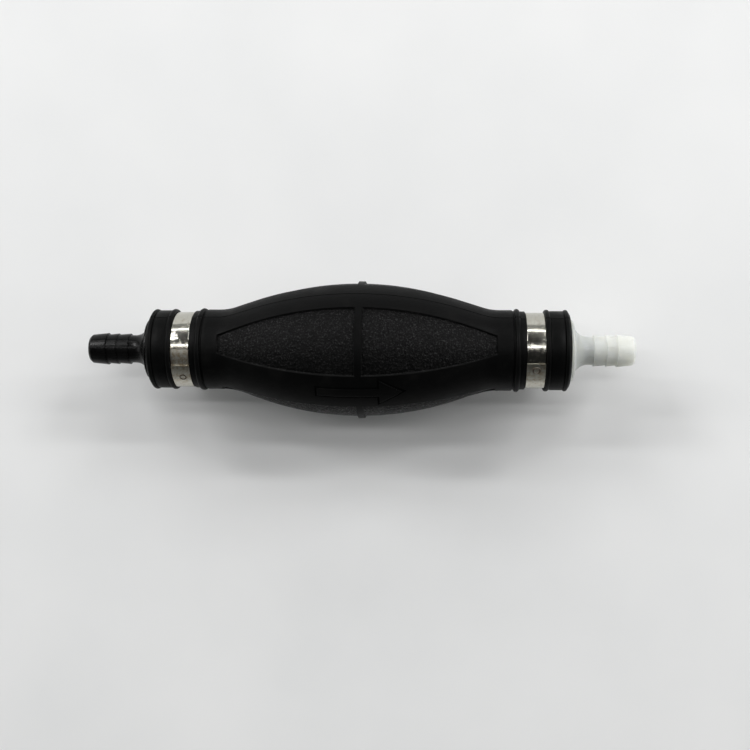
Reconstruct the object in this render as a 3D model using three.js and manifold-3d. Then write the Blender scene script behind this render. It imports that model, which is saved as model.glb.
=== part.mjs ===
// A siphon bulb pump: a squeezable rubber bulb with a barbed hose fitting in each end, held by
// steel bands, and a one-way valve inside each fitting. Millimetres. The origin is the bulb's
// centre, +X is the way the liquid flows (inlet at -X, outlet at +X) and +Z is up.
import * as THREE from "three";
import { mergeVertices } from "three/addons/utils/BufferGeometryUtils.js";
import Module from "manifold-3d";

// ---- Driving dimensions. Angles are in degrees from +Z towards +Y. ----

const RUNNING_GAP = 0.3; // clearance between pieces that move in, or nest in, each other
const FACE_GAP = 0.1; // clearance between pieces that rest face to face
const OVERRUN = 5; // how far a cutter runs past what it cuts

// Bulb
const CREST_R = 24.35; // largest radius, at the middle
const CREST_CURVE_R = 107; // radius of the bulb's long curve
const CURVE_END_X = 35.8; // where the long curve meets the straight shoulder
const SHOULDER = { x: 44.8, r: 15.05 };
const NECK = { x: 49.8, r: 14.25 };
const NECK_BORE_R = 10.2;
const BULB_END_X = 74;
const RUBBER_THICKNESS = 3.2;

// Raised rings around each neck, two beside the steel band and one at the end
const INNER_BEAD = { x: 55.6, r: 14.7 };
const OUTER_BEAD = { x: 66.1, r: 14.4 };
const END_BEAD = { x: 72.9, r: 14.4 };
const BEAD_HALF_WIDTH = 0.9;
const LAND_R = 13.9; // plain neck between the raised rings
const END_R = 13.7; // outer edge of the neck's end face

// Four recessed panels, crossed by a smooth rib
const PANEL_ANGLES = [13.5, 103.5, 193.5, 283.5];
const PANEL_DEPTH = 0.8;
const PANEL_HALF_WIDTH = 11.8;
const PANEL_EDGE_CURVE_R = 141;
const PANEL_END_X = 48.5;
const RIB = { x: 1.3, width: 2.5 };

// The panels that the hand presses in
const BACK_WALL_ANGLE = 103.5;
const FRONT_WALL_ANGLE = 283.5;
const PRESSED_END_X = 37;
const PRESSED_INSET = 0.6; // from the panel's edge to the pressed wall

// Raised flow arrow
const ARROW = { angle: -31.5, tail: -13.1, neck: 8.6, tip: 15.9, shaft: 3, head: 10.2 };
const ARROW_HEIGHT = 0.5;
const ARROW_ROOT = 2.6; // how deep the arrow's root runs into the rubber

// Steel bands
const BAND = { from: 58.6, to: 65.1, r: 13.35, thickness: 0.6 };
const BAND_LAP_TURN = 45; // how much of the turn the band's outer end overlaps
const INLET_LAP_ANGLE = -41.5;
const OUTLET_LAP_ANGLE = -36;

// Fittings, drawn for the outlet
const SLEEVE = { from: 56, r: 10, boreR: 8, boreEnd: 73.5 };
const FLANGE = { from: 74.2, to: 76, r: 10.9 };
const FLARE_R = 5.2; // concave flare from the flange down to the spigot
const SPIGOT_R = 4.95;
const BARBS = [
  { step: 82.5, r: 5.5, end: 86.8 },
  { step: 86.8, r: 5.52, end: 90.6 },
  { step: 90.6, r: 5.69, end: 96.1 },
];
const BARB_FOOT_R = 5.14; // where a barb's taper ends
const TIP = { x: 97, r: 4.4 };
const HOSE_BORE_R = 3.3;

// One-way valves, drawn from the seat's upstream face; both open towards +X
const INLET_VALVE_X = -73.2;
const OUTLET_VALVE_X = 56.6;
const PRESSED_IN_R = 7.8; // seat and cage, pressed into the sleeve
const SEAT = { length: 2.5, lip: 3, lipR: 4.2, holeR: 3.5 };
const SEAL = { from: 3.1, to: 4.2, r: 5.6, holeR: 1.7 };
const POPPET = { from: 2, buttonR: 2.3, neckR: 1.5, discFrom: 4.3, discTo: 5.5, discR: 6 };
const STEM = { r: 1.3, end: 13.5 };
const CAGE = { from: 11.2, to: 14.2, ringR: 6.4, hubR: 3.2, spokes: 3, spokeWidth: 1.6 };
const SPRING = { r: 2.4, wireR: 0.3, turns: 3.5 };

// Fineness of the facets
const BULB_SEGMENTS = 36;
const FITTING_SEGMENTS = 24;
const VALVE_SEGMENTS = 18;
const PANEL_ARC_SEGMENTS = 5;
const FLARE_SEGMENTS = 4;
const COIL_SEGMENTS = 9; // in each turn of a spring
const WIRE_ARC_SEGMENTS = 3;
const OUTER_CURVE_SHARES = [0.1, 0.32, 0.55, 0.78, 1]; // stations along the bulb's long curve
const INNER_CURVE_SHARES = [0.25, 0.5, 1];
const MERGE_DISTANCE = 1e-4;

// ---- Materials ----

const moulded = (color, roughness) => new THREE.MeshStandardMaterial({ color, roughness });
const metal = (color, roughness) =>
  new THREE.MeshStandardMaterial({ color, roughness, metalness: 1 });

const bulbRubber = moulded(0x1c1d1e, 0.55);
const blackPlastic = moulded(0x0b0b0c, 0.25);
const whitePlastic = moulded(0xd8d5c6, 0.35);
const valvePlastic = moulded(0xc9c9c2, 0.4);
const sealRubber = moulded(0x2b2b2c, 0.6);
const bandSteel = metal(0xb9bbbd, 0.25);
const springSteel = metal(0xc4c4c2, 0.3);

// ---- Joining and cutting ----

const wasm = await Module();
wasm.setup();

function solidOf(geometry) {
  const bare = geometry.clone();
  bare.deleteAttribute("normal");
  bare.deleteAttribute("uv");
  const merged = mergeVertices(bare, MERGE_DISTANCE);
  const vertProperties = new Float32Array(merged.getAttribute("position").array);
  const triVerts = new Uint32Array(merged.getIndex().array);
  return new wasm.Manifold(new wasm.Mesh({ numProp: 3, vertProperties, triVerts }));
}

function geometryOf(solid) {
  const { vertProperties, triVerts } = solid.getMesh();
  const geometry = new THREE.BufferGeometry();
  geometry.setAttribute("position", new THREE.BufferAttribute(vertProperties, 3));
  geometry.setIndex(new THREE.BufferAttribute(triVerts, 1));
  geometry.computeVertexNormals();
  return geometry;
}

// ---- Shapes about the pump's long axis ----

// Turns a profile of [x, r] points about the X axis. Its outer stretch runs towards +X, and a
// facet, not an edge, faces straight down.
function turned(profile, segments) {
  const points = profile.map(([x, r]) => new THREE.Vector2(r, x));
  const geometry = new THREE.LatheGeometry(points, segments, Math.PI / segments);
  return geometry.rotateZ(-Math.PI / 2);
}

// Closes a hollow profile on itself.
const ring = (profile) => [...profile, profile[0]];

// Ends a solid profile on the axis.
const bar = (profile) => [[profile[0][0], 0], ...profile, [profile.at(-1)[0], 0]];

// A plain tube between two x positions, ready to join or cut.
function tube(from, to, innerR, outerR, segments) {
  const profile = [
    [from, outerR],
    [to, outerR],
    [to, innerR],
    [from, innerR],
  ];
  return solidOf(turned(ring(profile), segments));
}

// Adds the mirrored inlet half to the outlet half of a symmetric outer profile.
const bothEnds = (half) => [...half.map(([x, r]) => [-x, r]).reverse(), ...half];

// Extrudes a shape drawn in (x, across) outwards along the radius at an angle.
function radialPrism(shape, angle, from, to) {
  const curveSegments = PANEL_ARC_SEGMENTS;
  const settings = { depth: to - from, bevelEnabled: false, curveSegments };
  const geometry = new THREE.ExtrudeGeometry(shape, settings);
  geometry.translate(0, 0, from);
  return geometry.rotateX(-THREE.MathUtils.degToRad(angle));
}

// ---- Bulb ----

// Points on the bulb's long curve, at shares of its half length, moved in or out by an offset.
function longCurve(shares, offset) {
  return shares.map((share) => {
    const x = share * CURVE_END_X;
    const drop = CREST_CURVE_R - Math.sqrt(CREST_CURVE_R ** 2 - x ** 2);
    return [x, CREST_R - drop + offset];
  });
}

// The bulb's smooth body from its middle to the neck.
function bodyHalf(offset) {
  return [
    ...longCurve(OUTER_CURVE_SHARES, offset),
    [SHOULDER.x, SHOULDER.r + offset],
    [NECK.x, NECK.r + offset],
  ];
}

function bead({ x, r }) {
  return [
    [x - BEAD_HALF_WIDTH, LAND_R],
    [x, r],
    [x + BEAD_HALF_WIDTH, LAND_R],
  ];
}

function bulbMoulding() {
  const grooveR = BAND.r - BAND.thickness - FACE_GAP;
  const outside = bothEnds([
    ...bodyHalf(0),
    ...bead(INNER_BEAD),
    [BAND.from - FACE_GAP, LAND_R],
    [BAND.from - FACE_GAP, grooveR],
    [BAND.to + FACE_GAP, grooveR],
    ...bead(OUTER_BEAD),
    [END_BEAD.x - BEAD_HALF_WIDTH, LAND_R],
    [END_BEAD.x, END_BEAD.r],
    [BULB_END_X, END_R],
  ]);
  const hollow = bothEnds([
    ...longCurve(INNER_CURVE_SHARES, -RUBBER_THICKNESS),
    [SHOULDER.x, SHOULDER.r - RUBBER_THICKNESS],
    [NECK.x, NECK_BORE_R],
    [BULB_END_X + OVERRUN, NECK_BORE_R],
  ]);
  const outer = solidOf(turned(bar(outside), BULB_SEGMENTS));
  return outer.subtract(solidOf(turned(bar(hollow), BULB_SEGMENTS)));
}

// A panel between two x positions: long arcs that narrow towards straight ends.
function panelOutline(fromX, toX, inset) {
  const arcCentre = PANEL_EDGE_CURVE_R - PANEL_HALF_WIDTH + inset;
  const fromTurn = Math.asin(fromX / PANEL_EDGE_CURVE_R);
  const toTurn = Math.asin(toX / PANEL_EDGE_CURVE_R);
  const quarter = Math.PI / 2;
  const shape = new THREE.Shape();
  shape.absarc(0, arcCentre, PANEL_EDGE_CURVE_R, fromTurn - quarter, toTurn - quarter, false);
  shape.absarc(0, -arcCentre, PANEL_EDGE_CURVE_R, quarter - toTurn, quarter - fromTurn, false);
  return shape;
}

function panelRecesses() {
  const halves = [
    panelOutline(-PANEL_END_X, RIB.x - RIB.width / 2, 0),
    panelOutline(RIB.x + RIB.width / 2, PANEL_END_X, 0),
  ];
  const prisms = PANEL_ANGLES.flatMap((angle) =>
    halves.map((half) => solidOf(radialPrism(half, angle, NECK_BORE_R, CREST_R + OVERRUN))),
  );
  const floor = solidOf(turned(bar(bothEnds(bodyHalf(-PANEL_DEPTH))), BULB_SEGMENTS));
  return prisms.reduce((all, prism) => all.add(prism)).subtract(floor);
}

function flowArrow() {
  const { tail, neck, tip, shaft, head } = ARROW;
  const shape = new THREE.Shape();
  shape.moveTo(tail, -shaft / 2);
  shape.lineTo(neck, -shaft / 2);
  shape.lineTo(neck, -head / 2);
  shape.lineTo(tip, 0);
  shape.lineTo(neck, head / 2);
  shape.lineTo(neck, shaft / 2);
  shape.lineTo(tail, shaft / 2);
  shape.closePath();
  const prism = radialPrism(shape, ARROW.angle, CREST_R - ARROW_ROOT, CREST_R + OVERRUN);
  const raised = turned(bar(bothEnds(bodyHalf(ARROW_HEIGHT))), BULB_SEGMENTS);
  return solidOf(prism).intersect(solidOf(raised));
}

// The block of space around one pressed wall, smaller than the opening by a clearance.
function pressedBlock(angle, clearance) {
  const endX = PRESSED_END_X - clearance;
  const outline = panelOutline(-endX, endX, PRESSED_INSET + clearance);
  return solidOf(radialPrism(outline, angle, 0, CREST_R + OVERRUN));
}

const wholeBulb = bulbMoulding().subtract(panelRecesses()).add(flowArrow());
const pressedWall = (angle) => wholeBulb.intersect(pressedBlock(angle, RUNNING_GAP));
const bulbShell = wholeBulb
  .subtract(pressedBlock(BACK_WALL_ANGLE, 0))
  .subtract(pressedBlock(FRONT_WALL_ANGLE, 0));

// ---- Steel band: one strip bent round the neck, its outer end lapped over the inner one ----

function band(lapAngle) {
  const { from, to, r, thickness } = BAND;
  const halfLap = r * Math.sin(THREE.MathUtils.degToRad(BAND_LAP_TURN / 2));
  const lapSide = new THREE.Shape();
  lapSide.moveTo(from - OVERRUN, -halfLap);
  lapSide.lineTo(to + OVERRUN, -halfLap);
  lapSide.lineTo(to + OVERRUN, halfLap);
  lapSide.lineTo(from - OVERRUN, halfLap);
  lapSide.closePath();
  const inner = tube(from, to, r - thickness, r, BULB_SEGMENTS);
  const outer = tube(from, to, r - thickness / 2, r + thickness, BULB_SEGMENTS);
  const lap = outer.intersect(solidOf(radialPrism(lapSide, lapAngle, r / 2, r + OVERRUN)));
  return geometryOf(inner.add(lap));
}

// ---- Hose fitting: valve sleeve, flange and barbed spigot in one moulding ----

function flare() {
  const points = [];
  for (let i = 0; i <= FLARE_SEGMENTS; i += 1) {
    const turn = (Math.PI / 2) * (i / FLARE_SEGMENTS);
    const x = FLANGE.to + FLARE_R * (1 - Math.cos(turn));
    const r = SPIGOT_R + FLARE_R * (1 - Math.sin(turn));
    points.push([x, r]);
  }
  return points;
}

function fitting() {
  const profile = [
    [SLEEVE.from, SLEEVE.r],
    [FLANGE.from, SLEEVE.r],
    [FLANGE.from, FLANGE.r],
    [FLANGE.to, FLANGE.r],
    ...flare(),
    [BARBS[0].step, SPIGOT_R],
    ...BARBS.flatMap(({ step, r, end }) => [
      [step, r],
      [end, BARB_FOOT_R],
    ]),
    [TIP.x, TIP.r],
    [TIP.x, HOSE_BORE_R],
    [SLEEVE.boreEnd, HOSE_BORE_R],
    [SLEEVE.boreEnd, SLEEVE.boreR],
    [SLEEVE.from, SLEEVE.boreR],
  ];
  return turned(ring(profile), FITTING_SEGMENTS);
}

// ---- One-way valve ----

function valveSeat() {
  const profile = [
    [0, PRESSED_IN_R],
    [SEAT.length, PRESSED_IN_R],
    [SEAT.length, SEAT.lipR + SEAT.lip - SEAT.length],
    [SEAT.lip, SEAT.lipR],
    [SEAT.lip, SEAT.holeR],
    [0, SEAT.holeR],
  ];
  return turned(ring(profile), VALVE_SEGMENTS);
}

function valveSeal() {
  const profile = [
    [SEAL.from, SEAL.r],
    [SEAL.to, SEAL.r],
    [SEAL.to, SEAL.holeR],
    [SEAL.from, SEAL.holeR],
  ];
  return turned(ring(profile), VALVE_SEGMENTS);
}

// The button in front of the seal holds it on; the disc behind backs it up.
function valvePoppet() {
  const profile = [
    [POPPET.from, POPPET.buttonR],
    [SEAL.from - FACE_GAP, POPPET.buttonR],
    [SEAL.from - FACE_GAP, POPPET.neckR],
    [POPPET.discFrom, POPPET.neckR],
    [POPPET.discFrom, POPPET.discR],
    [POPPET.discTo, POPPET.discR],
    [POPPET.discTo, STEM.r],
    [STEM.end, STEM.r],
  ];
  return turned(bar(profile), VALVE_SEGMENTS);
}

// The guide hub, held in the sleeve by a ring and spokes that let the liquid pass.
function valveCage() {
  const { from, to, ringR, hubR, spokes, spokeWidth } = CAGE;
  const rim = tube(from, to, ringR, PRESSED_IN_R, VALVE_SEGMENTS);
  const hub = tube(from, to, STEM.r + RUNNING_GAP, hubR, VALVE_SEGMENTS);
  let cage = rim.add(hub);
  const middleR = (STEM.r + hubR) / 2;
  const length = ringR + spokeWidth / 2 - middleR;
  for (let i = 0; i < spokes; i += 1) {
    const spoke = new THREE.BoxGeometry((to - from) / 2, spokeWidth, length);
    spoke.translate((from + to) / 2, 0, middleR + length / 2);
    spoke.rotateX((2 * Math.PI * i) / spokes);
    cage = cage.add(solidOf(spoke));
  }
  return geometryOf(cage);
}

class Helix extends THREE.Curve {
  getPoint(share, target = new THREE.Vector3()) {
    const from = POPPET.discTo + SPRING.wireR + FACE_GAP;
    const to = CAGE.from - SPRING.wireR - FACE_GAP;
    const turn = 2 * Math.PI * SPRING.turns * share;
    const x = from + (to - from) * share;
    return target.set(x, SPRING.r * Math.sin(turn), SPRING.r * Math.cos(turn));
  }
}

function valveSpring() {
  const wire = new THREE.Shape().absarc(0, 0, SPRING.wireR, 0, 2 * Math.PI, false);
  const settings = {
    steps: Math.round(COIL_SEGMENTS * SPRING.turns),
    curveSegments: WIRE_ARC_SEGMENTS,
    extrudePath: new Helix(),
  };
  return new THREE.ExtrudeGeometry(wire, settings);
}

// ---- Assembly ----

function piece(name, geometry, material) {
  const mesh = new THREE.Mesh(geometry, material);
  mesh.name = name;
  return mesh;
}

function valve(end, x) {
  const group = new THREE.Group();
  group.position.x = x;
  group.add(
    piece(`${end}_valve_seat`, valveSeat(), valvePlastic),
    piece(`${end}_valve_seal`, valveSeal(), sealRubber),
    piece(`${end}_valve_poppet`, valvePoppet(), valvePlastic),
    piece(`${end}_valve_spring`, valveSpring(), springSteel),
    piece(`${end}_valve_cage`, valveCage(), valvePlastic),
  );
  return group;
}

const inletFitting = piece("inlet_fitting", fitting(), blackPlastic);
inletFitting.rotation.z = Math.PI;
const outletFitting = piece("outlet_fitting", fitting(), whitePlastic);

const inletClamp = piece("inlet_clamp", band(INLET_LAP_ANGLE), bandSteel);
inletClamp.position.x = -BAND.from - BAND.to;
const outletClamp = piece("outlet_clamp", band(OUTLET_LAP_ANGLE), bandSteel);

const pump = new THREE.Group();
pump.name = "siphon_bulb_pump";
pump.add(
  piece("bulb", geometryOf(bulbShell), bulbRubber),
  piece("bulb_squeeze_wall_back", geometryOf(pressedWall(BACK_WALL_ANGLE)), bulbRubber),
  piece("bulb_squeeze_wall_front", geometryOf(pressedWall(FRONT_WALL_ANGLE)), bulbRubber),
  inletFitting,
  outletFitting,
  inletClamp,
  outletClamp,
  valve("inlet", INLET_VALVE_X),
  valve("outlet", OUTLET_VALVE_X),
);

export default pump;
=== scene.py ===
"""Looks of the siphon bulb pump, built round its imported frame. +X is the way the liquid flows, +Z up.

Lengths are in millimetres until a mesh is made, and angles in degrees from +Z towards +Y.
"""

from math import asin, ceil, cos, degrees, pi, radians, sin, sqrt, tan

import bmesh
import bpy
from mathutils import Matrix, Vector


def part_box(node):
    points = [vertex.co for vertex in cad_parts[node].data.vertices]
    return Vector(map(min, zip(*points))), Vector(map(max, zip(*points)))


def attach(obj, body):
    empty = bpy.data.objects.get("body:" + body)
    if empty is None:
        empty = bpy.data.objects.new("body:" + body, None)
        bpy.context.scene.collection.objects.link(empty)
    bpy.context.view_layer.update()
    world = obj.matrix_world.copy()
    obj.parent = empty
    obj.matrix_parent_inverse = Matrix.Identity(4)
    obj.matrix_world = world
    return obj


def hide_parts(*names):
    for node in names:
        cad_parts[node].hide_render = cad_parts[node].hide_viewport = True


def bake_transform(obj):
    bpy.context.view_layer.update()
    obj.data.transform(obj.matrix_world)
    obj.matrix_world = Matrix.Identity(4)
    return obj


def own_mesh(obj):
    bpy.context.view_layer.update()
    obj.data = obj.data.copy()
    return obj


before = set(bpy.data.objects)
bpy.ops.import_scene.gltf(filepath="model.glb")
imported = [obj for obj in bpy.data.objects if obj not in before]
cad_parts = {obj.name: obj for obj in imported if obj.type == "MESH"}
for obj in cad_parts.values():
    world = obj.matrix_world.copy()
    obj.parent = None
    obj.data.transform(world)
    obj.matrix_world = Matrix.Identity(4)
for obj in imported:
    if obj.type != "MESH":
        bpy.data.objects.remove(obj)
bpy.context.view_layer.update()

MM = 0.001

# ---------------------------------------------------------------------------------------------
# Driving dimensions
# ---------------------------------------------------------------------------------------------

# Bulb body: a long arc, a straight shoulder, and a hollow curve into each neck
CREST_R = 24.35
CREST_CURVE_R = 107.0
CURVE_END = 35.8
NECK_R = 14.25
NECK_CURVE_R = 19.0
RUBBER = 3.2
NECK_BORE_R = 10.2

# Neck: raised rings beside the band groove and at the end
BULB_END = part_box("bulb")[1].x / MM
NECK_FROM = 53.6
GROOVE_FROM, GROOVE_TO, GROOVE_R = 58.46, 65.14, 12.7
LAND_FROM, LAND_TO, LAND_R = 67.45, 71.5, 13.95
RING_FOOT_R = 13.8
LIP_R = 12.5
INNER_BEAD = {"x": 55.6, "crest": 14.7, "half": 0.95, "low": 13.85}
OUTER_BEAD = {"x": 66.0, "crest": 14.42, "half": 0.85, "low": 13.8}
END_BEAD = {"x": 72.6, "crest": 14.35, "half": 0.75, "low": 13.7}

# Panels, one in the middle of each sector; the first two sectors make the back half of the bulb
SECTOR_ANGLES = (103.5, 193.5, 283.5, 373.5)
HALF_SECTOR = 45.0
SEAM_ANGLES = (SECTOR_ANGLES[0] - HALF_SECTOR, SECTOR_ANGLES[2] - HALF_SECTOR)
SEAM_WIDTH = 0.2
SEAM_DEPTH = 0.24
PANEL_DEPTH = 0.8
PANEL_HALF_WIDTH = 11.8
PANEL_EDGE_R = 141.0
PANEL_END = 48.5
RIB_FROM, RIB_TO = 0.05, 2.55
EDGE_STEPS = (-0.36, -0.14, 0.24, 0.46)  # rows and columns across a panel's edge
ROW_STEP = 1.1

# Hand squeeze: how a pressed wall fades into the rest of the bulb
BACK_PRESS_ANGLE, FRONT_PRESS_ANGLE = SECTOR_ANGLES[0], SECTOR_ANGLES[2]
PRESS_HALF_LENGTH = 52.0

# Flow arrow
ARROW_ANGLE = -30.9
ARROW_TAIL, ARROW_NECK, ARROW_TIP = -13.0, 8.35, 16.1
SHAFT_HALF, HEAD_HALF, TIP_HALF = 1.62, 5.05, 0.2
ARROW_HEIGHT = 0.36
ARROW_ROOT = 0.5
ARROW_EASE = 0.26
SHADOW_PLATE_WIDTH, SHADOW_PLATE_HEIGHT = 0.75, 0.06  # thin plate under the arrow that reflects nothing: a painted shadow, seen as a dark outline

# Steel bands, drawn for the outlet
BAND_FROM, BAND_TO = 58.6, 65.1
BAND_THICKNESS = 0.6
BAND_INNER_LAYER_R = 13.05  # middle of the strip where it lies on the rubber
BAND_LAP = 45.0
BAND_RAMP = 18.0
LAP_GAP = 0.03
BAND_FACE_R = BAND_INNER_LAYER_R + BAND_THICKNESS * 1.5 + LAP_GAP  # outer face of the lap
WELD_TUBE_R = 0.27

# Fittings, drawn for the outlet
SLEEVE_FROM, SLEEVE_R, SLEEVE_BORE_R, SLEEVE_BORE_END = 56.0, 10.0, 8.0, 73.5
FLANGE_FROM, FLANGE_TO, FLANGE_R = 74.2, 75.5, 10.8
FLARE_R, SPIGOT_R = 5.2, 4.95
BARBS = ((82.5, 5.5, 86.8), (86.8, 5.52, 90.6), (90.6, 5.69, 96.1))  # step, radius, end
BARB_FOOT_R = 5.14
TIP_END, TIP_R, HOSE_BORE_R = 97.0, 4.4, 3.3

# Valves, drawn from the seat's upstream face
VALVE_X = {"inlet": -73.2, "outlet": 56.6}
VALVE_R = 7.8
SEAT_LENGTH, SEAT_LIP, SEAT_LIP_R, SEAT_HOLE_R = 2.5, 3.0, 4.2, 3.5
SEAL_FROM, SEAL_TO, SEAL_R, SEAL_HOLE_R = 3.1, 4.2, 5.6, 1.7
BUTTON_FROM, BUTTON_R, BUTTON_NECK_R = 2.0, 2.3, 1.5
DISC_FROM, DISC_TO, DISC_R = 4.3, 5.5, 6.0
STEM_R, STEM_END = 1.3, 13.5
CAGE_FROM, CAGE_TO, CAGE_RIM_R, CAGE_HUB_R, SPOKES = 11.2, 14.2, 6.4, 3.2, 3
SPOKE_WIDTH, SPOKE_BITE = 1.6, 0.4  # each spoke runs this far into the hub and the rim
SPRING_R, WIRE_R, COILS = 2.4, 0.3, 3.5

FLOOR_HALF = 4000.0


# ---------------------------------------------------------------------------------------------
# Shapes
# ---------------------------------------------------------------------------------------------

def clamp(value):
    return min(max(value, 0.0), 1.0)


def smooth(value):
    value = clamp(value)
    return value * value * (3 - 2 * value)


def mix(a, b, share):
    return a + (b - a) * share


def steps(start, end, longest):
    """Even positions from start up to, but without, end."""
    count = max(1, ceil((end - start) / longest))
    return [mix(start, end, i / count) for i in range(count)]


def at(x, radius, angle):
    """The point at a distance along the pump, a radius and an angle."""
    turn = radians(angle)
    return Vector((x, radius * sin(turn), radius * cos(turn)))


def turn_between(a, b):
    """How far two angles are apart, 0 to 180 degrees."""
    return abs((a - b + 180) % 360 - 180)


def rounded(corners, pieces=4):
    """Turns (x, r, fillet) corners into a closed line of points, each corner eased by its fillet."""
    points = []
    for i, (x, r, fillet) in enumerate(corners):
        corner = Vector((x, r))
        if not fillet:
            points.append(corner)
            continue
        before = Vector(corners[i - 1][:2]) - corner
        after = Vector(corners[(i + 1) % len(corners)][:2]) - corner
        start = corner + before.normalized() * fillet
        end = corner + after.normalized() * fillet
        for k in range(pieces + 1):
            t = k / pieces
            points.append(start * (1 - t) ** 2 + corner * 2 * t * (1 - t) + end * t ** 2)
    return points


def make_object(name, points, faces, sharp=38):
    """A smooth-shaded object from points in millimetres, with edges past an angle kept sharp."""
    mesh = bpy.data.meshes.new(name)
    mesh.from_pydata([p * MM for p in points], [], faces)
    tidy = bmesh.new()
    tidy.from_mesh(mesh)
    bmesh.ops.recalc_face_normals(tidy, faces=tidy.faces)
    tidy.to_mesh(mesh)
    tidy.free()
    mesh.shade_smooth()
    mesh.set_sharp_from_angle(angle=radians(sharp))
    rest = mesh.attributes.new("rest", "FLOAT_VECTOR", "POINT")
    for i, vertex in enumerate(mesh.vertices):
        rest.data[i].vector = vertex.co
    obj = bpy.data.objects.new(name, mesh)
    bpy.context.scene.collection.objects.link(obj)
    return obj


def grid_faces(rows, columns, rows_close=False, columns_close=False):
    """Quads over a grid of points stored row by row."""
    faces = []
    for i in range(rows if rows_close else rows - 1):
        for j in range(columns if columns_close else columns - 1):
            k, m = (i + 1) % rows, (j + 1) % columns
            faces.append((i * columns + j, i * columns + m, k * columns + m, k * columns + j))
    return faces


def turned(name, profile, segments, x=0.0, mirror=False, sharp=38):
    """A hollow piece: a closed profile of (x, r) points turned about the pump's axis."""
    side = -1 if mirror else 1
    points = []
    for px, r in profile:
        points += [at(side * px + x, r, 360 * j / segments) for j in range(segments)]
    faces = grid_faces(len(profile), segments, rows_close=True, columns_close=True)
    return make_object(name, points, faces, sharp)


def turned_bar(name, profile, segments, x=0.0):
    """A solid piece: an open profile of (x, r) points turned and closed at both ends."""
    points = []
    for px, r in profile:
        points += [at(px + x, r, 360 * j / segments) for j in range(segments)]
    faces = grid_faces(len(profile), segments, columns_close=True)
    last = (len(profile) - 1) * segments
    faces.append(tuple(range(segments)))
    faces.append(tuple(range(last, last + segments)))
    return make_object(name, points, faces)


def tube_along(name, path, radius, sides):
    """A wire of one radius along a line of points, with closed ends."""
    points = []
    for i, centre in enumerate(path):
        ahead = (path[min(i + 1, len(path) - 1)] - path[max(i - 1, 0)]).normalized()
        outward = Vector((0, centre.y, centre.z)).normalized()
        across = ahead.cross(outward).normalized()
        for j in range(sides):
            turn = 2 * pi * j / sides
            points.append(centre + (outward * cos(turn) + across * sin(turn)) * radius)
    faces = grid_faces(len(path), sides, columns_close=True)
    last = (len(path) - 1) * sides
    faces.append(tuple(range(sides)))
    faces.append(tuple(range(last, last + sides)))
    return make_object(name, points, faces)


# ---------------------------------------------------------------------------------------------
# Material helpers
# ---------------------------------------------------------------------------------------------

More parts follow.
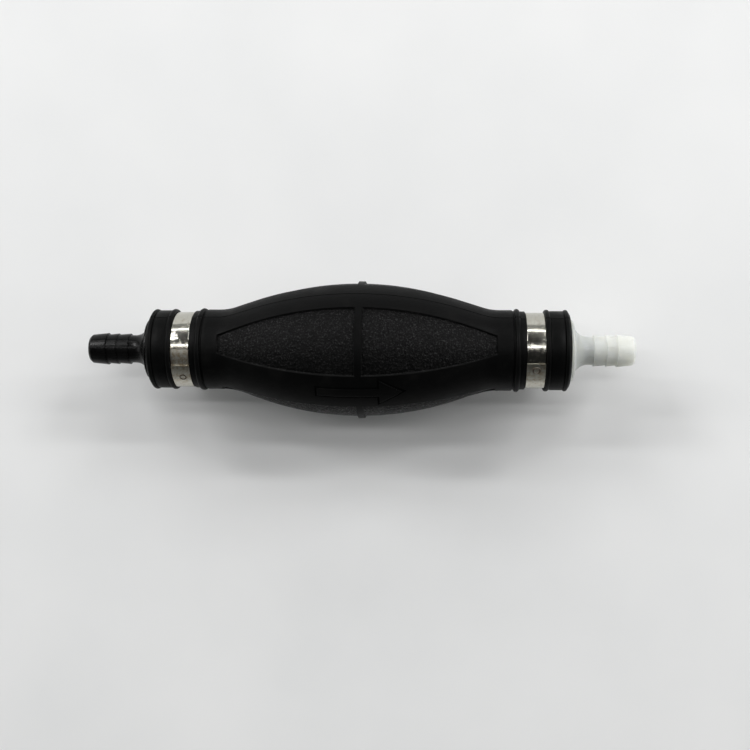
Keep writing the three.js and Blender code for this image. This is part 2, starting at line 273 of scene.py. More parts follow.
class Finish:
    """A Principled material and short calls that add procedural detail to it."""

    def __init__(self, name, color, roughness, **sockets):
        self.material = bpy.data.materials.new(name)
        self.material.use_nodes = True
        self.tree = self.material.node_tree
        self.shader = self.tree.nodes["Principled BSDF"]
        self.shader.inputs["Base Color"].default_value = (*color, 1)
        self.shader.inputs["Roughness"].default_value = roughness
        for socket, value in sockets.items():
            self.shader.inputs[socket.replace("_", " ")].default_value = value

    def node(self, kind, **settings):
        made = self.tree.nodes.new(kind)
        for key, value in settings.items():
            setattr(made, key, value)
        return made

    def link(self, source, target):
        self.tree.links.new(source, target)

    def place(self, stretch=(1, 1, 1)):
        """Surface position in metres before any squeeze, stretched along the axes."""
        rest = self.node("ShaderNodeAttribute", attribute_name="rest")
        mapping = self.node("ShaderNodeMapping")
        mapping.inputs["Scale"].default_value = stretch
        self.link(rest.outputs["Vector"], mapping.inputs["Vector"])
        return mapping.outputs["Vector"]

    def noise(self, size, detail=3.0, stretch=(1, 1, 1), roughness=0.5):
        """Cloudy noise whose blobs are about size millimetres across."""
        made = self.node("ShaderNodeTexNoise")
        made.inputs["Scale"].default_value = 1 / (size * MM)
        made.inputs["Detail"].default_value = detail
        made.inputs["Roughness"].default_value = roughness
        self.link(self.place(stretch), made.inputs["Vector"])
        return made.outputs["Fac"]

    def cells(self, size, feature="SMOOTH_F1"):
        """Rounded cells about size millimetres across."""
        made = self.node("ShaderNodeTexVoronoi", feature=feature)
        made.inputs["Scale"].default_value = 1 / (size * MM)
        self.link(self.place(), made.inputs["Vector"])
        return made.outputs["Distance"]

    def attribute(self, name):
        return self.node("ShaderNodeAttribute", attribute_name=name).outputs["Fac"]

    def math(self, operation, a, b):
        made = self.node("ShaderNodeMath", operation=operation)
        for value, socket in ((a, made.inputs[0]), (b, made.inputs[1])):
            if isinstance(value, (int, float)):
                socket.default_value = value
            else:
                self.link(value, socket)
        return made.outputs[0]

    def remap(self, source, from_low, from_high, to_low, to_high):
        made = self.node("ShaderNodeMapRange")
        self.link(source, made.inputs["Value"])
        values = (from_low, from_high, to_low, to_high)
        for name, value in zip(("From Min", "From Max", "To Min", "To Max"), values):
            made.inputs[name].default_value = value
        return made.outputs["Result"]

    def ramp(self, source, stops):
        """Colours blended over a 0 to 1 source; stops are (position, (r, g, b))."""
        made = self.node("ShaderNodeValToRGB")
        elements = made.color_ramp.elements
        while len(elements) < len(stops):
            elements.new(0.5)
        for element, (position, color) in zip(elements, stops):
            element.position = position
            element.color = (*color, 1)
        self.link(source, made.inputs["Fac"])
        return made.outputs["Color"]

    def blend_color(self, share, a, b):
        """Colour a where share is 0, b where it is 1; each is a socket or an (r, g, b)."""
        made = self.node("ShaderNodeMix", data_type="RGBA")
        self.link(share, made.inputs["Factor"])
        for value, socket in ((a, made.inputs["A"]), (b, made.inputs["B"])):
            if isinstance(value, tuple):
                socket.default_value = (*value, 1)
            else:
                self.link(value, socket)
        return made.outputs["Result"]

    def bumps(self, *layers):
        """Stacks (height, depth in millimetres, strength) layers onto the surface normal."""
        normal = None
        for height, depth, strength in layers:
            made = self.node("ShaderNodeBump")
            made.inputs["Distance"].default_value = depth * MM
            made.inputs["Strength"].default_value = strength
            self.link(height, made.inputs["Height"])
            if normal:
                self.link(normal, made.inputs["Normal"])
            normal = made.outputs["Normal"]
        self.link(normal, self.shader.inputs["Normal"])

    def color(self, source):
        self.link(source, self.shader.inputs["Base Color"])

    def roughness(self, source):
        self.link(source, self.shader.inputs["Roughness"])


# ---------------------------------------------------------------------------------------------
# Materials
# ---------------------------------------------------------------------------------------------

def bulb_rubber():
    """Moulded black rubber: a sparkling grain on the panels, its specks coloured a little lighter as a
    painted glint, and faint dusty rubbing.
    """
    rubber = Finish("bulb_rubber", (0.002, 0.002, 0.002), 0.4, Specular_IOR_Level=0.08)
    panel = rubber.attribute("panel")
    speckle = rubber.noise(0.6, 2, roughness=0.7)
    grain = rubber.math("MULTIPLY", speckle, rubber.remap(panel, 0, 1, 0.1, 1))
    leather = rubber.math("MULTIPLY", rubber.cells(1.1), rubber.remap(panel, 0, 1, 0.1, 1))
    rubber.bumps((rubber.noise(9, 2), 0.12, 0.5), (leather, 0.25, 0.9), (grain, 0.3, 1.0))
    glint = rubber.math("MULTIPLY", rubber.remap(speckle, 0.52, 0.7, 0, 1), panel)
    rub = rubber.noise(6, 5, roughness=0.6)
    worn = rubber.remap(rub, 0.52, 0.75, 0, 1)
    plain = rubber.blend_color(worn, (0.0016, 0.0017, 0.0017), (0.0034, 0.0034, 0.0032))
    # Painted glint: the grain's specks are coloured a little lighter than the plain rubber.
    rubber.color(rubber.blend_color(glint, plain, (0.006, 0.006, 0.006)))
    sheen = rubber.remap(rub, 0.3, 0.7, 0.38, 0.52)
    rubber.roughness(rubber.math("SUBTRACT", sheen, rubber.remap(glint, 0, 1, 0, 0.15)))
    level = rubber.remap(glint, 0, 1, 0.06, 0.21)
    # The arrow's eased edges and the plate under it reflect nothing: painted shade on the edges and a
    # painted shadow round the arrow.
    shiny = rubber.remap(rubber.attribute("painted_shade"), 0, 1, 1, 0)
    rubber.link(rubber.math("MULTIPLY", level, shiny), rubber.shader.inputs["Specular IOR Level"])
    return rubber.material


def black_plastic():
    """Satin black nylon with faint flow marks and hairline handling scratches."""
    plastic = Finish("black_plastic", (0.002, 0.002, 0.002), 0.3, Specular_IOR_Level=0.12)
    flow = plastic.noise(2.4, 3, stretch=(0.3, 1, 1))
    scratches = plastic.noise(0.5, 2, stretch=(0.1, 1, 1))
    plastic.bumps((flow, 0.02, 0.4), (scratches, 0.015, 0.5))
    plastic.color(plastic.ramp(flow, ((0.3, (0.0015, 0.0015, 0.0015)), (0.8, (0.004, 0.004, 0.004)))))
    plastic.roughness(plastic.remap(scratches, 0.3, 0.75, 0.2, 0.34))
    return plastic.material


def white_plastic():
    """Natural nylon: milky and translucent; its colour is painted greyer towards the flange, a painted
    shade for the dark bulb showing through.
    """
    plastic = Finish(
        "white_plastic", (0.6, 0.61, 0.55), 0.3,
        Subsurface_Weight=1.0, Subsurface_Radius=(1.0, 0.97, 0.88), Subsurface_Scale=16 * MM,
        Subsurface_Anisotropy=0.8, Specular_IOR_Level=0.4,
    )
    cloud = plastic.noise(3.5, 3)
    flow = plastic.noise(1.1, 2, stretch=(0.3, 1, 1))
    plastic.bumps((cloud, 0.05, 0.5), (flow, 0.03, 0.5))
    milky = plastic.ramp(cloud, ((0.3, (0.57, 0.58, 0.52)), (0.7, (0.63, 0.64, 0.58))))
    along = plastic.node("ShaderNodeSeparateXYZ")
    plastic.link(plastic.place(), along.inputs[0])
    open_end = plastic.remap(along.outputs["X"], FLANGE_FROM * MM, BARBS[1][0] * MM, 0, 1)
    # Painted shade: the colour greys from the barbs towards the flange.
    plastic.color(plastic.blend_color(open_end, (0.44, 0.46, 0.44), milky))
    plastic.roughness(plastic.remap(flow, 0.3, 0.7, 0.26, 0.42))
    return plastic.material


def band_steel():
    """Bright rolled steel: rolling lines round the strip, scuffs, yellowing and brown heat tint."""
    steel = Finish("band_steel", (0.5, 0.49, 0.46), 0.2, Metallic=1.0)
    rolling = steel.noise(0.35, 4, stretch=(1, 0.06, 0.06))
    waves = steel.noise(4, 2)
    stains = steel.noise(1.3, 6, roughness=0.75)
    scuffs = steel.remap(stains, 0.5, 0.66, 0, 1)
    steel.bumps((waves, 0.05, 0.5), (rolling, 0.03, 0.5), (scuffs, 0.02, 0.4))
    clean = steel.ramp(rolling, ((0.3, (0.47, 0.46, 0.41)), (0.7, (0.57, 0.56, 0.5))))
    dulled = steel.blend_color(scuffs, clean, (0.42, 0.39, 0.33))
    handled = steel.math("MULTIPLY", steel.attribute("dull"), steel.remap(stains, 0.42, 0.6, 0, 2.4))
    tarnished = steel.blend_color(handled, dulled, (0.34, 0.28, 0.2))
    steel.color(steel.blend_color(steel.attribute("oxide"), tarnished, (0.02, 0.01, 0.004)))
    dull = steel.remap(scuffs, 0, 1, 0.14, 0.3)
    steel.roughness(steel.math("MAXIMUM", dull, steel.attribute("dull")))
    bare = steel.remap(steel.attribute("oxide"), 0, 1, 1, 0.1)
    steel.link(bare, steel.shader.inputs["Metallic"])
    return steel.material


def spring_steel():
    """Drawn wire with fine lines along it and slight dulling."""
    wire = Finish("spring_steel", (0.6, 0.59, 0.57), 0.3, Metallic=1.0)
    drawn = wire.noise(0.25, 3)
    wire.bumps((drawn, 0.02, 0.5))
    wire.color(wire.ramp(drawn, ((0.35, (0.5, 0.49, 0.47)), (0.7, (0.68, 0.67, 0.65)))))
    wire.roughness(wire.remap(drawn, 0.3, 0.7, 0.24, 0.42))
    return wire.material


def valve_plastic():
    """Matt off-white acetal with a fine moulded texture."""
    plastic = Finish("valve_plastic", (0.62, 0.61, 0.56), 0.42)
    fine = plastic.noise(0.5, 3)
    cloud = plastic.noise(4, 2)
    plastic.bumps((fine, 0.02, 0.5))
    plastic.color(plastic.ramp(cloud, ((0.3, (0.56, 0.55, 0.5)), (0.7, (0.67, 0.66, 0.61)))))
    plastic.roughness(plastic.remap(fine, 0.3, 0.7, 0.36, 0.52))
    return plastic.material


def seal_rubber():
    """Soft dark grey rubber, slightly bloomed."""
    rubber = Finish("seal_rubber", (0.03, 0.03, 0.031), 0.6)
    bloom = rubber.noise(1.6, 4)
    rubber.bumps((rubber.noise(0.4, 3), 0.03, 0.5))
    rubber.color(rubber.ramp(bloom, ((0.4, (0.022, 0.022, 0.023)), (0.75, (0.06, 0.06, 0.06)))))
    rubber.roughness(rubber.remap(bloom, 0.3, 0.7, 0.52, 0.7))
    return rubber.material


def floor_card():
    """Pale matt card with the faintest unevenness."""
    card = Finish("floor_card", (0.8, 0.8, 0.8), 0.6)
    cloud = card.noise(60, 3)
    fibre = card.noise(1.2, 3)
    card.color(card.ramp(cloud, ((0.3, (0.78, 0.785, 0.785)), (0.7, (0.82, 0.822, 0.82)))))
    card.bumps((fibre, 0.05, 0.3))
    card.roughness(card.remap(fibre, 0.3, 0.7, 0.55, 0.7))
    return card.material


MATERIALS = {
    make.__name__: make()
    for make in (
        bulb_rubber, black_plastic, white_plastic, band_steel, spring_steel, valve_plastic, seal_rubber,
    )
}


def dress(obj, slot, *nodes):
    """Gives a piece its material and hides the CAD nodes it stands for."""
    obj.data.materials.append(MATERIALS[slot])
    if nodes:
        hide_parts(*nodes)
    return obj


# ---------------------------------------------------------------------------------------------
# Bulb skin: two mould halves, each one closed shell
# ---------------------------------------------------------------------------------------------

SHOULDER_TURN = asin(CURVE_END / CREST_CURVE_R)
SHOULDER_R = CREST_R - CREST_CURVE_R * (1 - cos(SHOULDER_TURN))
BEND_R = NECK_R + NECK_CURVE_R * (1 - cos(SHOULDER_TURN))
BEND_START = CURVE_END + (SHOULDER_R - BEND_R) / tan(SHOULDER_TURN)
NECK_START = BEND_START + NECK_CURVE_R * sin(SHOULDER_TURN)


def body_radius(x):
    """Outside radius of the plain body and neck, before panels and rings."""
    x = abs(x)
    if x <= CURVE_END:
        return CREST_R - CREST_CURVE_R + sqrt(CREST_CURVE_R ** 2 - x ** 2)
    if x <= BEND_START:
        return SHOULDER_R - tan(SHOULDER_TURN) * (x - CURVE_END)
    if x <= NECK_START:
        return NECK_R + NECK_CURVE_R - sqrt(NECK_CURVE_R ** 2 - (NECK_START - x) ** 2)
    return NECK_R


def bead(ring, pieces=8):
    """Points over one raised ring."""
    points = []
    for i in range(pieces + 1):
        turn = pi * i / pieces
        height = (ring["crest"] - ring["low"]) * sin(turn)
        points.append((ring["x"] - ring["half"] * cos(turn), ring["low"] + height))
    return points


def neck_outside():
    """(x, r) points from the end of the body to the bore at the neck's end face, corners eased."""
    foot, low = RING_FOOT_R, INNER_BEAD["low"]
    return [
        (NECK_FROM, NECK_R), (NECK_FROM + 0.35, NECK_R - 0.03),
        (NECK_FROM + 0.6, LAND_R), (NECK_FROM + 0.8, low),
        *bead(INNER_BEAD),
        (INNER_BEAD["x"] + 1.4, foot), (GROOVE_FROM - 0.26, foot),
        (GROOVE_FROM - 0.06, foot - 0.08), (GROOVE_FROM - 0.01, foot - 0.2),
        (GROOVE_FROM, GROOVE_R), (GROOVE_TO, GROOVE_R), (GROOVE_TO + 0.01, foot - 0.1),
        *bead(OUTER_BEAD),
        (LAND_FROM - 0.45, foot), (LAND_FROM - 0.25, foot + 0.1),
        (LAND_FROM, LAND_R), ((LAND_FROM + LAND_TO) / 2, LAND_R), (LAND_TO, LAND_R),
        (LAND_TO + 0.1, foot + 0.08), (LAND_TO + 0.25, foot - 0.05),
        *bead(END_BEAD),
        (BULB_END - 0.7, foot - 0.2), (BULB_END - 0.3, foot - 0.5), (BULB_END - 0.08, LIP_R + 0.4),
        (BULB_END, LIP_R), (BULB_END, NECK_BORE_R),
    ]


def body_stations():
    """Positions of the rows over the body, closer across each edge of the panels."""
    edges = [(-PANEL_END, 1), (RIB_FROM, -1), (RIB_TO, 1), (PANEL_END, -1)]
    crossings = sorted(x + side * step for x, side in edges for step in EDGE_STEPS)
    fixed = [-NECK_FROM, *crossings, NECK_FROM]
    rows = []
    for a, b in zip(fixed, fixed[1:]):
        rows += steps(a, b, ROW_STEP)
    return rows[1:]


def panel_half_angle(x, radius):
    """Half the angle that a panel spans at x; past its end, the last value carries on."""
    x = min(abs(x), PANEL_END)
    half_width = PANEL_HALF_WIDTH - PANEL_EDGE_R + sqrt(PANEL_EDGE_R ** 2 - x ** 2)
    return degrees(asin(half_width / radius))


def sector_columns():
    """Columns over one sector, each a sum of half sectors, panel half angles and millimetres."""
    band = [(i / 6 - 1, -i / 6, EDGE_STEPS[0] * i / 6) for i in range(1, 6)]
    edge = [(0, -1, step) for step in EDGE_STEPS]
    low_half = [(-1, 0, 0), (-1, 0, SEAM_WIDTH), *band, *edge]
    panel = [(0, i / 11, -EDGE_STEPS[-1] * i / 11) for i in range(-10, 11)]
    high_half = [tuple(-part for part in column) for column in reversed(low_half)]
    return low_half + panel + high_half


def column_angle(column, x, radius):
    """Angle from the middle of the sector."""
    halves, panels, distance = column
    plain = halves * HALF_SECTOR + panels * panel_half_angle(x, body_radius(min(abs(x), PANEL_END)))
    return plain + degrees(distance / radius)


def recess_share(x, radius, offset):
    """1 on the floor of a panel, 0 on the frame and the rib, and between the two on the edge."""
    to_end = PANEL_END - abs(x)
    to_rib = max(RIB_FROM - x, x - RIB_TO)
    to_side = radians(panel_half_angle(x, body_radius(x)) - abs(offset)) * radius
    step_from, step_to = EDGE_STEPS[1], EDGE_STEPS[2]
    along = clamp((min(to_end, to_rib) - step_from) / (step_to - step_from))
    across = clamp((to_side - step_from) / (step_to - step_from))
    return along * across


def seam_groove(radius, angle):
    distance = min(radians(turn_between(angle, seam)) * radius for seam in SEAM_ANGLES)
    return SEAM_DEPTH * clamp(1 - distance / SEAM_WIDTH)


def press_share(x, angle, press_angle):
    """How far a point of the bulb follows the pressed wall, 0 to 1."""
    round_it = smooth(1 - turn_between(angle, press_angle) / HALF_SECTOR)
    return round_it * smooth(1 - abs(x) / PRESS_HALF_LENGTH)


def bulb_rows():
    """(x, radius, outside?) rows: outside from inlet to outlet, then back along the inside."""
    neck = neck_outside()
    rows = [(-x, r, True) for x, r in reversed(neck)]
    rows += [(x, body_radius(x), True) for x in body_stations()]
    rows += [(x, r, True) for x, r in neck]
    inside = steps(BULB_END, -BULB_END, 6)[1:]
    return rows + [(x, max(NECK_BORE_R, body_radius(x) - RUBBER), False) for x in inside]


def follow(obj):
    """Bakes a piece's placement into its mesh."""
    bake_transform(obj)


def bulb_half(name, sectors, press_angle, wall_node):
    rows = bulb_rows()
    columns = [(sector, column) for sector in sectors for column in sector_columns()]
    del columns[len(columns) // 2]  # the two sectors share their border
    points, masks, shares = [], [], []
    for x, radius, outside in rows:
        for sector, column in columns:
            offset = column_angle(column, x, radius)
            angle = sector + offset
            recess = recess_share(x, radius, offset) if outside and abs(x) < PANEL_END + 1 else 0.0
            groove = seam_groove(radius, angle) if outside else 0.0
            points.append(at(x, radius - PANEL_DEPTH * recess - groove, angle))
            masks.append(recess)
            shares.append(press_share(x, angle, press_angle))
    faces = grid_faces(len(rows), len(columns), rows_close=True)
    for edge in (0, len(columns) - 1):
        faces.append(tuple(i * len(columns) + edge for i in range(len(rows))))
    half = make_object(name, points, faces)
    half.data.attributes.new("panel", "FLOAT", "POINT").data.foreach_set("value", masks)
    dress(half, "bulb_rubber", "bulb", wall_node)
    follow(half)
    return half


bulb_half(
    "bulb_half_back", SECTOR_ANGLES[:2], BACK_PRESS_ANGLE, "bulb_squeeze_wall_back",
)
bulb_half(
    "bulb_half_front", SECTOR_ANGLES[2:], FRONT_PRESS_ANGLE, "bulb_squeeze_wall_front",
)


# ---------------------------------------------------------------------------------------------
# Flow arrow
# ---------------------------------------------------------------------------------------------

def arrow_rows(grow):
    """Rows of (x, half width) over the shaft and the head, with the outline grown on every side."""
    tail, neck = ARROW_TAIL - grow, ARROW_NECK - grow
    shaft_half = SHAFT_HALF + grow
    shaft = [(x, shaft_half) for x in steps(tail, neck, ROW_STEP)] + [(neck, shaft_half)]
    taper = (HEAD_HALF - TIP_HALF) / (ARROW_TIP - ARROW_NECK)
    lean = sqrt(1 + taper ** 2)
    head_half = HEAD_HALF + grow * (lean + taper)
    tip = ARROW_TIP + grow * lean / taper
    pieces = 8
    head = []
    for i in range(pieces + 1):
        head.append((mix(neck, tip, i / pieces), mix(head_half, TIP_HALF, i / pieces)))
    return shaft, head


def flow_arrow(name, grow, height, top_painted_shade):
    """A raised arrow whose top follows the bulb. Its eased edges, and its top where asked, reflect
    nothing: painted shade that keeps them dark.
    """
    shaft, head = arrow_rows(grow)
    inner = shaft[0][1] / head[0][1]
    barb_shares = (inner, (2 * inner + 1) / 3, (inner + 2) / 3, 1)
    shaft_shares = (-1, -0.5, 0, 0.5, 1)
    head_shares = (
        *(-share for share in reversed(barb_shares)),
        -inner / 2, 0, inner / 2,
        *barb_shares,
    )
    flat = bmesh.new()

    def row(x, half, shares):
        return [flat.verts.new((x, half * share, 0)) for share in shares]

    shaft_rows = [row(x, half, shaft_shares) for x, half in shaft[:-1]]
    head_rows = [row(x, half, head_shares) for x, half in head]
    first = len(barb_shares) - 1
    shaft_rows.append(head_rows[0][first:first + len(shaft_shares)])
    for rows in (shaft_rows, head_rows):
        for a, b in zip(rows, rows[1:]):
            for j in range(len(a) - 1):
                flat.faces.new((a[j], b[j], b[j + 1], a[j + 1]))
    raised = bmesh.ops.extrude_face_region(flat, geom=list(flat.faces))
    top = [v for v in raised["geom"] if isinstance(v, bmesh.types.BMVert)]
    bmesh.ops.translate(flat, verts=top, vec=(0, 0, ARROW_ROOT + height))
    bmesh.ops.recalc_face_normals(flat, faces=flat.faces)
    rim = [e for e in flat.edges if e.calc_face_angle(0) > 0.6 and all(v.co.z > 0.1 for v in e.verts)]
    bmesh.ops.bevel(flat, geom=rim, offset=ARROW_EASE, segments=3, profile=0.5, affect="EDGES")
    flat.verts.index_update()
    points, shares, painted_shade = [], [], []
    for vertex in flat.verts:
        x, across, out = vertex.co
        radius = body_radius(x) - ARROW_ROOT + out
        angle = ARROW_ANGLE + degrees(across / CREST_R)
        points.append(at(x, radius, angle))
        shares.append(press_share(x, angle, FRONT_PRESS_ANGLE))
        painted_shade.append(top_painted_shade if out > ARROW_ROOT + height - ARROW_EASE / 4 else 1.0)
    faces = [tuple(v.index for v in face.verts) for face in flat.faces]
    flat.free()
    arrow = make_object(name, points, faces, sharp=60)
    arrow.data.attributes.new("panel", "FLOAT", "POINT")
    arrow.data.attributes.new("painted_shade", "FLOAT", "POINT").data.foreach_set("value", painted_shade)
    dress(arrow, "bulb_rubber")
    follow(arrow)


flow_arrow("flow_arrow", 0, ARROW_HEIGHT, 0.0)
# The plate under the arrow reflects nothing: a painted shadow, seen as a dark outline.
flow_arrow("flow_arrow_shadow_plate", SHADOW_PLATE_WIDTH, SHADOW_PLATE_HEIGHT, 1.0)


# ---------------------------------------------------------------------------------------------
# Steel bands: one strip bent round the neck, its outer end welded over the inner one
# ---------------------------------------------------------------------------------------------

def strip_section():
    """Rounded section of the strip as (across, out) from its middle."""
    half_width = (BAND_TO - BAND_FROM) / 2
    half_thick = BAND_THICKNESS / 2
    corners = [
        (-half_width, -half_thick, 0.12),
        (half_width, -half_thick, 0.12),
        (half_width, half_thick, 0.2),
        (-half_width, half_thick, 0.2),
    ]
    return rounded(corners, pieces=3)


def band_dullness(turn, scuffed):
    """Wear of the strip, 0 to 1, at a turn from its outer end: on the lap, and just above its end."""
    on_lap = 0.33 * smooth(1.25 - turn / BAND_LAP)
    above_lap = scuffed * smooth((turn - 330) / 8)
    return max(on_lap, above_lap)


def band(name, node, middle_x, lap_end, skew, scuffed):
    """A strip from its outer end at lap_end, down a ramp, and round under itself."""
    section = strip_section()
    pieces = 162
    points, dull = [], []
    for i in range(pieces + 1):
        turn = (360 + BAND_LAP) * i / pieces
        down = smooth((turn - BAND_LAP) / BAND_RAMP)
        radius = BAND_INNER_LAYER_R + (BAND_THICKNESS + LAP_GAP) * (1 - down)
        shift = skew * (1 - down)
        for across, out in section:
            points.append(at(middle_x + across + shift, radius + out, lap_end - turn))
            dull.append(band_dullness(turn, scuffed))
    faces = grid_faces(pieces + 1, len(section), columns_close=True)
    last = pieces * len(section)
    faces.append(tuple(range(len(section))))
    faces.append(tuple(range(last, last + len(section))))
    strip = make_object(name, points, faces, sharp=50)
    strip.data.attributes.new("dull", "FLOAT", "POINT").data.foreach_set("value", dull)
    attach(dress(strip, "band_steel", node), "pump_body")


def weld_ring(name, x, angle, radius):
    """The small raised ring that a spot weld leaves on the strip's outer face."""
    around, section = 28, 8
    points, oxide = [], []
    for i in range(around):
        turn = 2 * pi * i / around
        for j in range(section):
            tilt = 2 * pi * j / section
            out = radius + WELD_TUBE_R * cos(tilt)
            height = BAND_FACE_R + WELD_TUBE_R / 2 * sin(tilt)
            round_it = degrees(out * sin(turn) / BAND_FACE_R)
            points.append(at(x + out * cos(turn), height, angle + round_it))
            oxide.append(0.85 + 0.15 * sin(turn * 2 + angle))
    faces = grid_faces(around, section, rows_close=True, columns_close=True)
    ring = make_object(name, points, faces)
    ring.data.attributes.new("oxide", "FLOAT", "POINT").data.foreach_set("value", oxide)
    ring.data.attributes.new("dull", "FLOAT", "POINT").data.foreach_set("value", [0.7] * len(points))
    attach(dress(ring, "band_steel"), "pump_body")


BAND_MIDDLE = (BAND_FROM + BAND_TO) / 2
band("inlet_band", "inlet_clamp", -BAND_MIDDLE, -19.0, 0.12, 0.42)
band("outlet_band", "outlet_clamp", BAND_MIDDLE, -13.5, 0.0, 0.0)
weld_ring("inlet_band_weld", -61.2, -38.8, 1.05)
weld_ring("outlet_band_weld", 61.9, -23.5, 1.15)


# ---------------------------------------------------------------------------------------------
# Hose fittings
# ---------------------------------------------------------------------------------------------

def flare():
    """Hollow curve from the flange down to the spigot."""
    points = []
    for i in range(13):
        turn = pi / 2 * i / 12
        points.append((FLANGE_TO + FLARE_R * (1 - cos(turn)), SPIGOT_R + FLARE_R * (1 - sin(turn)), 0))
    return points


def barbs():
    points = []
    for step, radius, end in BARBS:
        points += [(step, radius, 0.1), (end, BARB_FOOT_R, 0.08)]
    return points


def fitting(end, slot, mirror):
    corners = [
        (SLEEVE_FROM, SLEEVE_R, 0.3),
        (FLANGE_FROM, SLEEVE_R, 0.1),
        (FLANGE_FROM, FLANGE_R, 0.15),
        (FLANGE_TO, FLANGE_R, 0.7),
        *flare(),
        (BARBS[0][0], SPIGOT_R, 0.12),
        *barbs(),
        (TIP_END, TIP_R, 0.2),
        (TIP_END, HOSE_BORE_R, 0.25),
        (SLEEVE_BORE_END, HOSE_BORE_R, 0.25),
        (SLEEVE_BORE_END, SLEEVE_BORE_R, 0.4),
        (SLEEVE_FROM, SLEEVE_BORE_R, 0.3),
    ]
    obj = turned(f"{end}_spigot", rounded(corners), 96, mirror=mirror, sharp=45)
    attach(dress(obj, slot, f"{end}_fitting"), "pump_body")


fitting("inlet", "black_plastic", True)
fitting("outlet", "white_plastic", False)


# ---------------------------------------------------------------------------------------------
# One-way valves
# ---------------------------------------------------------------------------------------------

def valve_seat(end, x):
    corners = [
        (0, VALVE_R, 0.3),
        (SEAT_LENGTH, VALVE_R, 0.2),
        (SEAT_LENGTH, SEAT_LIP_R + SEAT_LIP - SEAT_LENGTH, 0.15),
        (SEAT_LIP, SEAT_LIP_R, 0.15),
        (SEAT_LIP, SEAT_HOLE_R, 0.1),
        (0, SEAT_HOLE_R, 0.4),
    ]
    seat = turned(f"{end}_seat", rounded(corners), 64, x)
    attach(dress(seat, "valve_plastic", f"{end}_valve_seat"), "pump_body")


def valve_seal(end, x):
    corners = [
        (SEAL_FROM, SEAL_R, 0.25),
        (SEAL_TO, SEAL_R, 0.25),
        (SEAL_TO, SEAL_HOLE_R, 0.1),
        (SEAL_FROM, SEAL_HOLE_R, 0.1),
    ]
    seal = turned(f"{end}_seal", rounded(corners), 64, x)
    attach(dress(seal, "seal_rubber", f"{end}_valve_seal"), f"{end}_poppet")


def valve_poppet(end, x):
    """Button, neck, disc and stem in one piece; the seal is clipped between the button and the disc."""
    button_end = SEAL_FROM - 0.1
    corners = [
        (BUTTON_FROM, BUTTON_R / 2, 0),
        (BUTTON_FROM, BUTTON_R, 0.4),
        (button_end, BUTTON_R, 0),
        (button_end, BUTTON_NECK_R, 0),
        (DISC_FROM, BUTTON_NECK_R, 0),
        (DISC_FROM, DISC_R, 0.2),
        (DISC_TO, DISC_R, 0.2),
        (DISC_TO, STEM_R, 0.4),
        (STEM_END, STEM_R, 0.4),
        (STEM_END, STEM_R / 2, 0),
    ]
    poppet = turned_bar(f"{end}_poppet_stem", rounded(corners), 48, x)
    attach(dress(poppet, "valve_plastic", f"{end}_valve_poppet"), f"{end}_poppet")


def spoke(build, angle):
    """A rounded bar from the hub to the rim, added to a mesh under construction."""
    inner, outer = CAGE_HUB_R - SPOKE_BITE, CAGE_RIM_R + SPOKE_BITE
    middle = Vector(((CAGE_FROM + CAGE_TO) / 2, 0, (inner + outer) / 2))
    size = Matrix.Diagonal(((CAGE_TO - CAGE_FROM) / 2, SPOKE_WIDTH, outer - inner, 1))
    made = bmesh.ops.create_cube(build, size=1.0, matrix=Matrix.Translation(middle) @ size)
    edges = {e for v in made["verts"] for e in v.link_edges}
    bevelled = bmesh.ops.bevel(build, geom=list(edges), offset=0.2, segments=2, affect="EDGES")
    verts = {v for face in bevelled["faces"] for v in face.verts}
    bmesh.ops.rotate(build, verts=list(verts), matrix=Matrix.Rotation(-radians(angle), 3, "X"))


def cage_ring(inner, outer):
    """Rounded section of the cage's rim or hub."""
    return rounded([
        (CAGE_FROM, outer, 0.3),
        (CAGE_TO, outer, 0.3),
        (CAGE_TO, inner, 0.2),
        (CAGE_FROM, inner, 0.2),
    ])


def valve_cage(end, x):
    """Rim, hub and spokes; the poppet's stem slides in the hub."""
    build = bmesh.new()
    for i in range(SPOKES):
        spoke(build, 360 * i / SPOKES)
    build.verts.index_update()
    points = [v.co + Vector((x, 0, 0)) for v in build.verts]
    faces = [tuple(v.index for v in face.verts) for face in build.faces]
    build.free()
    segments = 64
    for profile in (cage_ring(CAGE_RIM_R, VALVE_R), cage_ring(STEM_R + 0.3, CAGE_HUB_R)):
        first = len(points)
        for px, r in profile:
            points += [at(px + x, r, 360 * j / segments) for j in range(segments)]
        quads = grid_faces(len(profile), segments, rows_close=True, columns_close=True)
        faces += [tuple(first + i for i in quad) for quad in quads]
    cage = make_object(f"{end}_cage", points, faces)
    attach(dress(cage, "valve_plastic", f"{end}_valve_cage"), "pump_body")


def valve_spring(end, x):
    """A coil from the poppet's disc to the cage, drawn at rest; the real one shortens against the cage
    as the poppet lifts.
    """
    start, stop = x + DISC_TO + WIRE_R, x + CAGE_FROM - WIRE_R
    pieces = 98
    path = []
    for i in range(pieces + 1):
        path.append(at(mix(start, stop, i / pieces), SPRING_R, 360 * COILS * i / pieces))
    spring = tube_along(f"{end}_spring", path, WIRE_R, 10)
    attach(dress(spring, "spring_steel", f"{end}_valve_spring"), "pump_body")
    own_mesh(spring)


for end, x in VALVE_X.items():
    valve_seat(end, x)
    valve_seal(end, x)
    valve_poppet(end, x)
    valve_cage(end, x)
    valve_spring(end, x)


# ---------------------------------------------------------------------------------------------
# Floor, lights and camera
# ---------------------------------------------------------------------------------------------

def floor():
    """A wide flat card under the bulb."""
    cells = 24
    points = []
    for i in range(cells + 1):
        for j in range(cells + 1):
            x = mix(-FLOOR_HALF, FLOOR_HALF, i / cells)
            y = mix(-FLOOR_HALF, FLOOR_HALF, j / cells)
            points.append(Vector((x, y, -CREST_R)))
    sheet = make_object("floor", points, grid_faces(cells + 1, cells + 1))
    sheet.data.materials.append(floor_card())


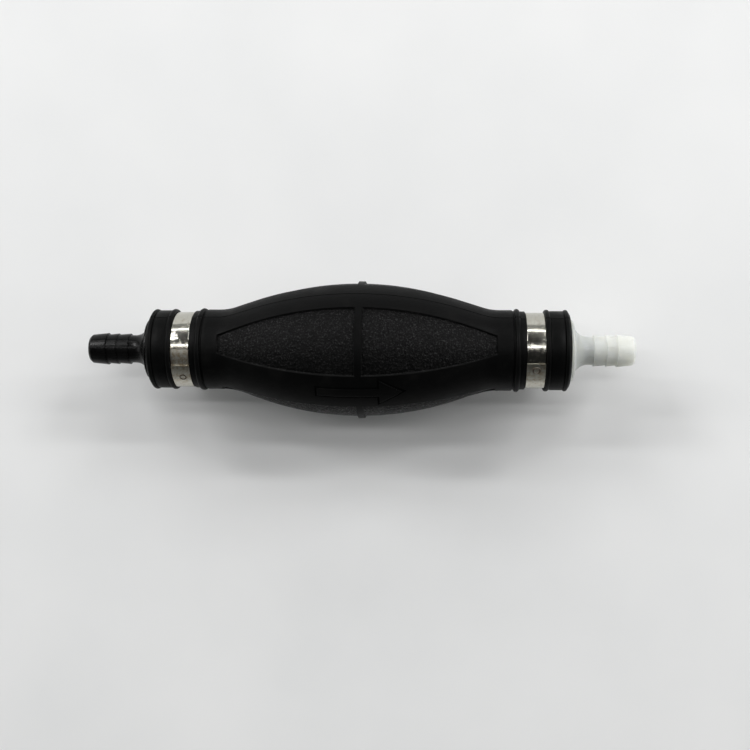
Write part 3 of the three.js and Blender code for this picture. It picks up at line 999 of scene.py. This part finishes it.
def area_light(name, direction, distance, across, along, watts):
    """A soft rectangle aimed at the bulb from a direction; its long side lies along the pump."""
    towards = Vector(direction).normalized()
    side = Vector((1, 0, 0)) - towards * towards.x
    side.normalize()
    data = bpy.data.lights.new(name, "AREA")
    data.shape = "RECTANGLE"
    data.size, data.size_y = along * MM, across * MM
    data.energy = watts
    lamp = bpy.data.objects.new(name, data)
    turn = Matrix((side, towards.cross(side), towards)).transposed().to_4x4()
    lamp.matrix_world = Matrix.Translation(towards * distance * MM) @ turn
    bpy.context.scene.collection.objects.link(lamp)


def leaning(lean, aside=0.0):
    """Direction of a lamp that leans from overhead towards +Y, and aside along the pump."""
    return (aside, sin(radians(lean)), cos(radians(lean)))


def room_light():
    """A dim room: grey walls round the horizon and almost nothing overhead."""
    world = bpy.data.worlds.new("room")
    world.use_nodes = True
    nodes, links = world.node_tree.nodes, world.node_tree.links
    place = nodes.new("ShaderNodeTexCoord")
    split = nodes.new("ShaderNodeSeparateXYZ")
    fade = nodes.new("ShaderNodeMapRange")
    fade.interpolation_type = "SMOOTHSTEP"
    for name, value in (("From Min", 0.05), ("From Max", 0.85), ("To Min", 0.3), ("To Max", 0.015)):
        fade.inputs[name].default_value = value
    links.new(place.outputs["Generated"], split.inputs["Vector"])
    links.new(split.outputs["Z"], fade.inputs["Value"])
    links.new(fade.outputs["Result"], nodes["Background"].inputs["Strength"])
    nodes["Background"].inputs["Color"].default_value = (0.97, 1.0, 0.98, 1)
    bpy.context.scene.world = world


def camera():
    data = bpy.data.cameras.new("camera")
    data.lens, data.sensor_width = 52.0, 36.0
    eye = Vector((29.625, 41.545, 383.229))
    tilt = Matrix.Rotation(radians(7.518), 3, "X")
    swing = Matrix.Rotation(radians(-3.5435), 3, "Y")
    roll = Matrix.Rotation(radians(-0.33476), 3, "Z")
    obj = bpy.data.objects.new("camera", data)
    obj.matrix_world = Matrix.Translation(eye * MM) @ (roll @ swing @ tilt).transposed().to_4x4()
    bpy.context.scene.collection.objects.link(obj)
    bpy.context.scene.camera = obj


floor()
area_light("near_strip", leaning(18), 1500, 80, 3200, 6.9)
area_light("left_strip", leaning(40, -0.8), 1900, 100, 1100, 10.9)
area_light("right_strip", leaning(40, 0.8), 1900, 100, 1100, 10.9)
area_light("far_strip", leaning(69), 1500, 80, 3200, 6.9)
area_light("left_lamp", leaning(52, -0.62), 1700, 300, 450, 6.4)
area_light("right_lamp", leaning(52, 0.62), 1700, 300, 450, 6.4)
area_light("left_fill", (-0.95, 0.1, 0.33), 1100, 600, 400, 1.3)
area_light("right_fill", (0.95, 0.1, 0.33), 1100, 600, 400, 2.2)
room_light()
camera()
bpy.context.scene.view_settings.view_transform = "Standard"
